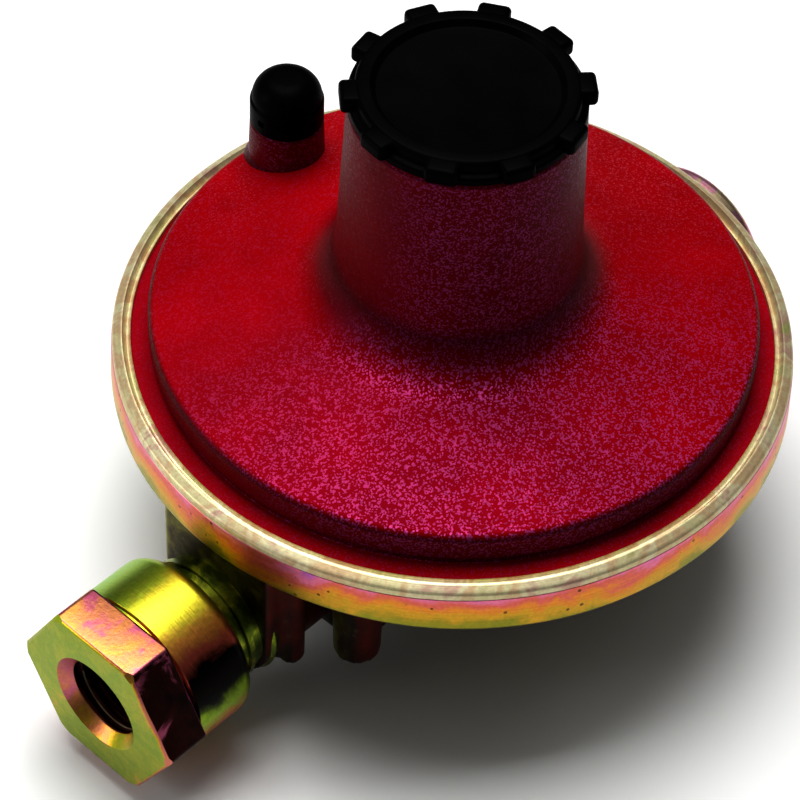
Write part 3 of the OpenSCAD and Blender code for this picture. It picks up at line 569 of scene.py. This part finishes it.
def extruded(name, points, depth):
    # a flat outline, filled and pushed to a thickness
    corners = [Vector(p) * mm for p in points]
    piece = drawLine(name, corners + corners[:1])
    bpy.ops.mesh.select_all(action="SELECT")
    bpy.ops.mesh.remove_doubles(threshold=weldGap)
    bpy.ops.mesh.edge_face_add()
    bpy.ops.mesh.extrude_region_move(TRANSFORM_OT_translate={"value": Vector(depth) * mm})
    bpy.ops.mesh.select_all(action="SELECT")
    bpy.ops.mesh.normals_make_consistent(inside=False)
    bpy.ops.object.mode_set(mode="OBJECT")
    return piece


def portBoss(side):
    # the boss of the inlet or the outlet, which is round below and straight-sided above
    inner, outer = sorted((side * casting["bossStart"], side * casting["faceX"]))
    wide = casting["bossRadius"]
    return [rodAlongX("boss", wide, inner, outer, flow[2]),
            box("bossTop", (inner, -wide, flow[2]), (outer, wide, casting["seatZ"]))]


def post(side, y):
    hole, holeTop = casting["hole"], casting["postZ"] + casting["holeDepth"]
    return turned("post", softened([
        (hole, holeTop), (hole, casting["postZ"]), (casting["postRadius"], casting["postZ"], 0.4),
        (casting["postRadius"] + 0.4, casting["postTop"]), (0.0, casting["postTop"]), (0.0, holeTop)], 3),
        centre=(side * casting["postX"], y * casting["postY"], 0), steps=32)


def rib(y):
    foot, top = casting["ribZ"]
    return turned("rib", softened([(0.0, foot), (casting["ribRadius"], foot, 0.4),
                  (casting["ribRadius"], top), (0.0, top)], 3),
                  centre=(casting["ribX"], y * casting["ribY"], 0), steps=24)


def gusset(x, y):
    start = x - casting["gussetWall"] / 2
    return extruded("gusset", [(start, y * out, z) for out, z in casting["gusset"]],
                    (casting["gussetWall"], 0, 0))


parts = [turned("castBowl", casting["bowl"], steps=128)]
for side in (-1, 1):
    parts += portBoss(side)
    parts += [post(side, y) for y in (-1, 1)]
for y in (-1, 1):
    parts.append(rib(y))
    parts += [gusset(x, y) for x in casting["gussetX"]]
blockStart, blockEnd = casting["blockX"]
blockFoot, blockTop = casting["blockZ"]
parts.append(box("block", (blockStart, -casting["blockHalf"], blockFoot),
                 (blockEnd, casting["blockHalf"], blockTop), 2))
parts.append(turned("hub", [(0.0, casting["hubZ"]), (casting["hubRadius"], casting["hubZ"]),
                            (casting["hubRadius"], 8), (0.0, 8)], steps=64))
bodyCasting = merged("bodyCasting", parts)
activate(bodyCasting)
# one skin over all the shapes, with the soft inner and outer corners of a casting
remesh = bodyCasting.modifiers.new("skin", "REMESH")
remesh.mode, remesh.voxel_size, remesh.use_smooth_shade = "VOXEL", casting["voxelMm"] * mm, True
bpy.ops.object.modifier_apply(modifier=remesh.name)
relax = bodyCasting.modifiers.new("relax", "SMOOTH")
relax.factor, relax.iterations = 0.5, 3
bpy.ops.object.modifier_apply(modifier=relax.name)
print("casting has", len(bodyCasting.data.polygons) * 2, "triangles")
finishPiece(bodyCasting, "housing", castFilmAndShade, "passivated_casting", "lower_body")

neck = {"radius": 8.8, "channel": 4.5, "start": -56.487, "end": -42, "grooveX": -46.987, "grooveRadius": 8}
inletNeck = turned("inletNeck", softened([
    (neck["channel"], neck["start"], 0.3), (neck["radius"], neck["start"], 0.4),
    (neck["radius"], neck["grooveX"] - 0.45), (neck["grooveRadius"], neck["grooveX"] - 0.45),
    (neck["grooveRadius"], neck["grooveX"] + 0.45), (neck["radius"], neck["grooveX"] + 0.45),
    (neck["radius"], neck["end"] - 2.8, 1), (neck["radius"] + 1.2, neck["end"] - 1.6),
    (neck["radius"] + 0.6, neck["end"]), (neck["channel"], neck["end"])], 4), "X", flow, 96)
finishPiece(smooth(inletNeck), "housing", neckShadeFilm, "passivated_casting", "lower_body")
print("casting made")

# inlet connector
inlet = {"front": -66.687, "hexBack": -59.887, "collarBack": -49.387, "hexAcross": 24, "collarRadius": 12.1,
         "collarRound": 2, "thread": 5.72, "leadIn": 1.55, "root": 6.5, "pitch": 1.337, "turns": 6,
         "seat": -56.787, "bore": 8.86, "hexRound": 0.45, "cornerBack": 0.9, "shoulder": 0.45}


def threadCoil(name, crest, root, start, pitch, turns, centre):
    # one groove and crest, swept along a helix to make the female thread
    shape = [(root, 0), (root, 0.12), (crest, 0.42), (crest, 0.58), (root, 0.88), (root, 1)]
    piece = drawLine(name, [onAxis("X", radius, start + share * pitch, centre) for radius, share in shape])
    bpy.ops.object.mode_set(mode="OBJECT")
    bpy.context.scene.cursor.location = Vector(centre) * mm
    bpy.ops.object.origin_set(type="ORIGIN_CURSOR")
    sweep = piece.modifiers.new("helix", "SCREW")
    sweep.axis, sweep.angle, sweep.screw_offset = "X", math.tau, pitch * mm
    sweep.iterations, sweep.steps, sweep.render_steps = turns, 72, 72
    sweep.use_merge_vertices, sweep.merge_threshold = True, weldGap
    bpy.ops.object.modifier_apply(modifier=sweep.name)
    bpy.ops.object.mode_set(mode="EDIT")
    bpy.ops.mesh.select_all(action="SELECT")
    bpy.ops.mesh.remove_doubles(threshold=weldGap)
    bpy.ops.mesh.normals_make_consistent(inside=True)
    bpy.ops.object.mode_set(mode="OBJECT")
    bpy.context.scene.cursor.location = (0, 0, 0)
    return settle(piece)


across = inlet["hexAcross"] / 2 / math.cos(math.radians(30))
hexLength, hexMiddle = inlet["hexBack"] - inlet["front"], (inlet["front"] + inlet["hexBack"]) / 2
clearSelection()
bpy.ops.mesh.primitive_cylinder_add(vertices=6, radius=across * mm, depth=hexLength * mm,
                                    location=(hexMiddle * mm, 0, flow[2] * mm),
                                    rotation=(0, math.pi / 2, 0))
hexNut = settle(nameLast("hexNut"))
softEdges(hexNut, inlet["hexRound"], 4, 30)
# the corners are turned back to a cone at the front
blank = turned("blank", [
    (0.0, inlet["front"]), (across - inlet["cornerBack"], inlet["front"]),
    (across + 0.1, inlet["front"] + 0.85), (across + 0.1, inlet["hexBack"] - 0.3),
    (across - 0.7, inlet["hexBack"] + 0.1), (0.0, inlet["hexBack"] + 0.1)], "X", flow, 192)
hexNut = combine(hexNut, blank, "INTERSECT")
shoulderRadius = inlet["collarRadius"] - inlet["shoulder"]
collar = turned("collar", softened([
    (0.0, inlet["hexBack"] - 0.5), (shoulderRadius, inlet["hexBack"] - 0.5),
    (shoulderRadius, inlet["hexBack"] + 0.3), (inlet["collarRadius"], inlet["hexBack"] + 0.5, 0.15),
    (inlet["collarRadius"], inlet["collarBack"], inlet["collarRound"]), (neck["radius"], inlet["collarBack"]),
    (0.0, inlet["collarBack"])], 8), "X", flow, 128)
mouth, throat = inlet["thread"] + inlet["leadIn"], inlet["thread"] + 0.05
groove, threadStart = inlet["root"] + 0.1, inlet["front"] + inlet["leadIn"]
leadIn = turned("leadIn", softened([
    (0.0, inlet["front"] - 1), (mouth + 0.6, inlet["front"] - 1), (mouth, inlet["front"] - 0.05),
    (throat, threadStart, 0.2), (throat, threadStart + 0.25), (groove, threadStart + 0.7),
    (groove, inlet["seat"]), (inlet["bore"], inlet["seat"]), (inlet["bore"], inlet["collarBack"] + 1),
    (0.0, inlet["collarBack"] + 1)], 3), "X", flow, 96)
leadInCopy = duplicate(leadIn)
hexNut = combine(hexNut, leadIn, "DIFFERENCE")
collar = combine(collar, leadInCopy, "DIFFERENCE")
inletThread = threadCoil("inletThread", inlet["thread"], inlet["root"] + 0.25, threadStart - 0.1,
                         inlet["pitch"], inlet["turns"], flow)
collar.name = collar.data.name = "inletCollar"
hexNut.name = hexNut.data.name = "inletHexagon"
finishPiece(smooth(inletThread, 50), "connector", boreShadeFilm, "passivated_steel", "inlet_connector")
# the first crest, at the mouth, gets the bright lip film: a painted highlight where the light reaches the
# thread
inletThread.data.materials.append(lipFilm)
for face in inletThread.data.polygons:
    away = math.hypot(face.center.y, face.center.z - flow[2] * mm)
    litFirstCrest = face.center.x < (threadStart + inlet["pitch"] * 1.15) * mm
    if litFirstCrest and away < (inlet["thread"] + 0.12) * mm:
        face.material_index = 1
finishPiece(smooth(collar, 30), "connector", turnedFilmAndReflection, "passivated_steel", "inlet_connector")
finishPiece(smooth(hexNut, 30), "connector", hexFilmAndShade, "passivated_steel", "inlet_connector")
print("inlet connector made")

# outlet connector
outlet = {"back": 45.987, "end": 54.987, "radius": 12.2, "round": 1.5, "thread": 7.48, "leadIn": 1.55,
          "root": 8.3, "pitch": 1.337, "turns": 6, "spigot": 9.08, "start": 38.2, "relief": 1.9}
bore, throat, groove = outlet["thread"] - 1, outlet["thread"] + 0.05, outlet["root"] + 0.1
threadEnd, shoulder = outlet["end"] - outlet["leadIn"], outlet["back"] + 0.2
outletCollar = turned("outletCollar", softened([
    (bore, outlet["start"]), (outlet["spigot"], outlet["start"], 0.3), (outlet["spigot"], shoulder),
    (outlet["radius"], shoulder, 0.6), (outlet["radius"], outlet["end"], outlet["round"]),
    (outlet["thread"] + outlet["leadIn"], outlet["end"], 0.15), (throat, threadEnd),
    (throat, threadEnd - 0.25), (groove, threadEnd - 0.8), (groove, outlet["back"] - outlet["relief"]),
    (bore, outlet["back"] - outlet["relief"])], 6), "X", flow, 128)
outletThread = threadCoil("outletThread", outlet["thread"], outlet["root"] + 0.25,
                          threadEnd - outlet["pitch"] * outlet["turns"] - 1.2,
                          outlet["pitch"], outlet["turns"], flow)
outletCollar = merged("outletCollar", [outletCollar, outletThread])
finishPiece(smooth(outletCollar, 34), "housing", outletFilm, "passivated_steel", "outlet_connector")
print("outlet connector made")

# adjusting cap
cap = {"seat": 77.5, "radius": 15.2, "crown": 14.3, "top": 80.5, "spigot": 12.74, "foot": 71.5, "lugs": 10,
       "lugWidth": 4.3, "lugOut": 16.2, "lugRound": 0.7, "lugPhase": -5.9, "wall": 3.4, "dish": 0.9}
spigotBore, dishFloor = cap["spigot"] - cap["wall"], cap["top"] - cap["dish"]
capBody = turned("adjustingCapMoulding", softened([
    (spigotBore, cap["foot"]), (cap["spigot"], cap["foot"], 0.3), (cap["spigot"], cap["seat"] + 0.02),
    (cap["radius"], cap["seat"] + 0.02, 0.2), (cap["radius"], cap["seat"] + 1.1, 0.4),
    (cap["crown"], cap["seat"] + 1.4, 0.3), (cap["crown"], cap["top"], 0.7),
    (cap["crown"] - 2, cap["top"], 0.3), (cap["crown"] - 2.6, dishFloor, 0.3), (0.0, dishFloor),
    (0.0, cap["foot"] + 6), (spigotBore, cap["foot"] + 6)], 5), steps=128)
# one grip lug: a tab with rounded edges, copied round the crown
lug = box("lug", (cap["crown"] - 1.5, -cap["lugWidth"] / 2, cap["seat"] + 0.4),
          (cap["lugOut"], cap["lugWidth"] / 2, cap["top"] - 0.15))
softEdges(lug, cap["lugRound"], 5, 60)
pieces = [capBody]
for index in range(cap["lugs"]):
    copied = duplicate(lug)
    copied.rotation_euler = (0, 0, math.tau * index / cap["lugs"] + math.radians(cap["lugPhase"]))
    pieces.append(settle(copied))
bpy.data.objects.remove(lug, do_unlink=True)
adjustingCap = merged("adjustingCapMoulding", pieces)
finishPiece(smooth(adjustingCap, 35), "cap", blackPlastic, "black_plastic", "adjusting_cap")
print("adjusting cap made")

# vent cap
ventCap = {"radius": 5.1, "height": 7.4, "shoulder": 3.7, "dome": 4.85, "stem": 2.85, "stemLength": 3,
           "slotAt": 2, "slotSize": (12, 1.1, 1)}
ventMiddleX, ventMiddleY, ventTop = vent["centre"][0], vent["centre"][1], vent["top"]
ventPiece = turned("ventCapMoulding", softened([
    (0.0, ventTop - ventCap["stemLength"]), (ventCap["stem"], ventTop - ventCap["stemLength"], 0.3),
    (ventCap["stem"], ventTop + 0.03), (ventCap["radius"], ventTop + 0.03, 0.25),
    (ventCap["radius"], ventTop + ventCap["shoulder"], 0.5),
    (ventCap["dome"], ventTop + ventCap["shoulder"] + 0.25),
    (ventCap["dome"], ventTop + ventCap["height"], 3.3), (0.0, ventTop + ventCap["height"])], 12),
    centre=vent["centre"], steps=72)
# two breathing slots, crossed
for turn in (0, math.pi / 2):
    clearSelection()
    slotPlace = Vector((ventMiddleX, ventMiddleY, ventTop + ventCap["slotAt"])) * mm
    bpy.ops.mesh.primitive_cube_add(size=1, location=slotPlace, rotation=(0, 0, turn),
                                    scale=Vector(ventCap["slotSize"]) * mm)
    slotTool = settle(nameLast("slotTool"))
    softEdges(slotTool, 0.2, 2, 60)
    ventPiece = combine(ventPiece, slotTool, "DIFFERENCE")
finishPiece(smooth(ventPiece, 35), "vent", blackPlastic, "black_plastic", "vent_cap")
print("vent cap made")

# springs, cut into bands between their seats
springs = {"foot": 34.8, "platesEnd": 38.3, "stemEnd": 41.8, "seat": 62.6, "nut": 41.8}


def springBand(node, name, low, high):
    # the stretch of a spring from low to high
    piece = bpy.data.objects.new(name, nodes[node].data.copy())
    bpy.context.collection.objects.link(piece)
    activate(piece)
    bpy.ops.object.mode_set(mode="EDIT")
    bpy.ops.mesh.select_all(action="SELECT")
    bpy.ops.mesh.remove_doubles(threshold=sliverGap)
    for height, inner in ((low, True), (high, False)):
        bpy.ops.mesh.select_all(action="SELECT")
        bpy.ops.mesh.bisect(plane_co=(0, 0, height * mm), plane_no=(0, 0, 1), use_fill=True,
                            clear_inner=inner, clear_outer=not inner)
    bpy.ops.object.mode_set(mode="OBJECT")
    slotMaterial(smooth(piece, 50), springWire)
    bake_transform(piece)
    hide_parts(node)


springBand("main_spring", "mainSpringFoot", springs["foot"], springs["platesEnd"])
springBand("main_spring", "mainSpringMiddle", springs["platesEnd"], springs["stemEnd"])
springBand("main_spring", "mainSpringTop", springs["stemEnd"], springs["seat"])
springBand("relief_spring", "reliefSpringCoil", springs["foot"], springs["nut"])
print("springs made")

# diaphragm: the disc rides on its plates, the clamped rim stays, and the fold between is cut in sectors
sheet = {"hole": 2.6, "disc": 22.4, "inner": 26, "foldFrom": 24, "foldTo": 36, "rimFrom": 36.6, "rim": 43.8,
         "foot": 32.6, "thick": 1, "sectors": 12}
foldCentre = (sheet["foldFrom"] + sheet["foldTo"]) / 2
foldRadius = (sheet["foldTo"] - sheet["foldFrom"]) / 2


def foldHeight(radius, above):
    # height of the sheet's lower face with above at 0, or of its upper face with above at its thickness
    reach = foldRadius + above - sheet["thick"] / 2
    away = abs(radius - foldCentre)
    middle = sheet["foot"] + sheet["thick"] / 2
    if away >= reach:
        return sheet["foot"] + above
    return max(sheet["foot"] + above, middle + math.sqrt(reach ** 2 - away ** 2))


def sheetRing(name, low, high, steps):
    # both faces of the sheet from one radius to another
    places = [low + (high - low) * k / steps for k in range(steps + 1)]
    outline = [(r, foldHeight(r, 0)) for r in places]
    outline += [(r, foldHeight(r, sheet["thick"])) for r in reversed(places)]
    return turned(name, outline, steps=96)


def sector(name, ring, middle, half):
    # a wedge of the ring, cut by two upright planes and closed
    piece = duplicate(ring)
    activate(piece)
    piece.name = piece.data.name = name
    bpy.ops.object.mode_set(mode="EDIT")
    for side in (-1, 1):
        edge = middle + side * half
        bpy.ops.mesh.select_all(action="SELECT")
        bpy.ops.mesh.bisect(plane_co=(0, 0, 0), use_fill=True, clear_outer=True,
                            plane_no=(side * -math.sin(edge), side * math.cos(edge), 0))
    bpy.ops.object.mode_set(mode="OBJECT")
    return piece


disc = sheetRing("diaphragmDisc", sheet["hole"], sheet["disc"], 2)
finishPiece(smooth(disc), "plates", rubber, "rubber", "diaphragm")
clampedRim = sheetRing("diaphragmRim", sheet["rimFrom"], sheet["rim"], 2)
finishPiece(smooth(clampedRim), "housing", rubber, "rubber", "diaphragm")
for band, low, high, steps, nearBody, farBody in (
        ("Inner", sheet["disc"], sheet["inner"], 8, "plates", "stem"),
        ("Fold", sheet["inner"], sheet["rimFrom"], 28, "stem", "housing")):
    ring = sheetRing("band", low, high, steps)
    for index in range(sheet["sectors"]):
        angle = math.tau * index / sheet["sectors"]
        piece = sector("diaphragm" + band + str(index + 1), ring, angle, math.pi / sheet["sectors"])
        slotMaterial(smooth(piece, 30), rubber)
        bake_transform(piece)
        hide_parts("diaphragm")
    bpy.data.objects.remove(ring, do_unlink=True)
print("diaphragm made")

# floor, light and camera
stage = {"floor": 6, "board": ("F2F2F1", "F4F4F3"), "boardMm": 90, "boardRoughness": 0.8,
         "sky": ((0.0, 0.01), (0.3, 0.015), (0.7, 0.3), (1.0, 0.8)), "skyStrength": 0.5, "gamma": 0.85}
clearSelection()
bpy.ops.mesh.primitive_plane_add(size=stage["floor"])
floor = nameLast("floor")
# matt white studio board: plain, with a trace of unevenness
board, boardTree, boardShader, boardCoords = newMaterial("studioBoard")
shades = noise(boardTree, boardCoords.outputs["Object"], stage["boardMm"], 1)
boardColour = ramp(boardTree, shades, [(0.3, linear(stage["board"][0])), (0.7, linear(stage["board"][1]))])
boardTree.links.new(boardColour, boardShader.inputs["Base Color"])
boardShader.inputs["Roughness"].default_value = stage["boardRoughness"]
slotMaterial(floor, board)

world = bpy.context.scene.world or bpy.data.worlds.new("studio")
bpy.context.scene.world = world
world.use_nodes = True
studio = world.node_tree
# bright overhead, nearly dark along the horizon, as between the walls of a lit studio
direction = addNode(studio, "ShaderNodeTexCoord").outputs["Generated"]
upward = addNode(studio, "ShaderNodeSeparateXYZ", {0: direction}).outputs[2]
sky = ramp(studio, upward, [(height, grey(light)) for height, light in stage["sky"]])
studio.links.new(sky, studio.nodes["Background"].inputs[0])
studio.nodes["Background"].inputs[1].default_value = stage["skyStrength"]

# place and aim in metres, size in metres, power in watts
lamps = {"keyLight": {"place": (0.12, 0.2, 0.87), "size": 0.6, "power": 10.4},
         "sideLight": {"place": (-0.62, 0.5, 0.3), "size": 0.3, "power": 2.4}}
lampAim = Vector((0, 0, 0.03))
for name, lamp in lamps.items():
    clearSelection()
    bpy.ops.object.light_add(type="AREA", location=lamp["place"])
    light = bpy.context.object
    light.name = name
    light.data.size, light.data.energy = lamp["size"], lamp["power"]
    light.rotation_euler = (lampAim - Vector(lamp["place"])).to_track_quat("-Z", "Y").to_euler()

eye = {"place": (-228.1, -192.0, 352.0), "aim": (-14.4, -3.8, 36), "rollDeg": 2.787, "lens": 145.07,
       "sensor": 36}
bpy.ops.object.camera_add(location=Vector(eye["place"]) * mm)
camera = bpy.context.object
camera.name = "camera"
camera.data.lens, camera.data.sensor_width = eye["lens"], eye["sensor"]
look = (Vector(eye["aim"]) - Vector(eye["place"])).to_track_quat("-Z", "Y")
camera.rotation_euler = look.to_euler()
camera.rotation_euler.rotate_axis("Z", math.radians(eye["rollDeg"]))
bpy.context.scene.camera = camera
bpy.context.scene.view_settings.view_transform = "Standard"
bpy.context.scene.view_settings.gamma = stage["gamma"]
print("studio made")

clearSelection()
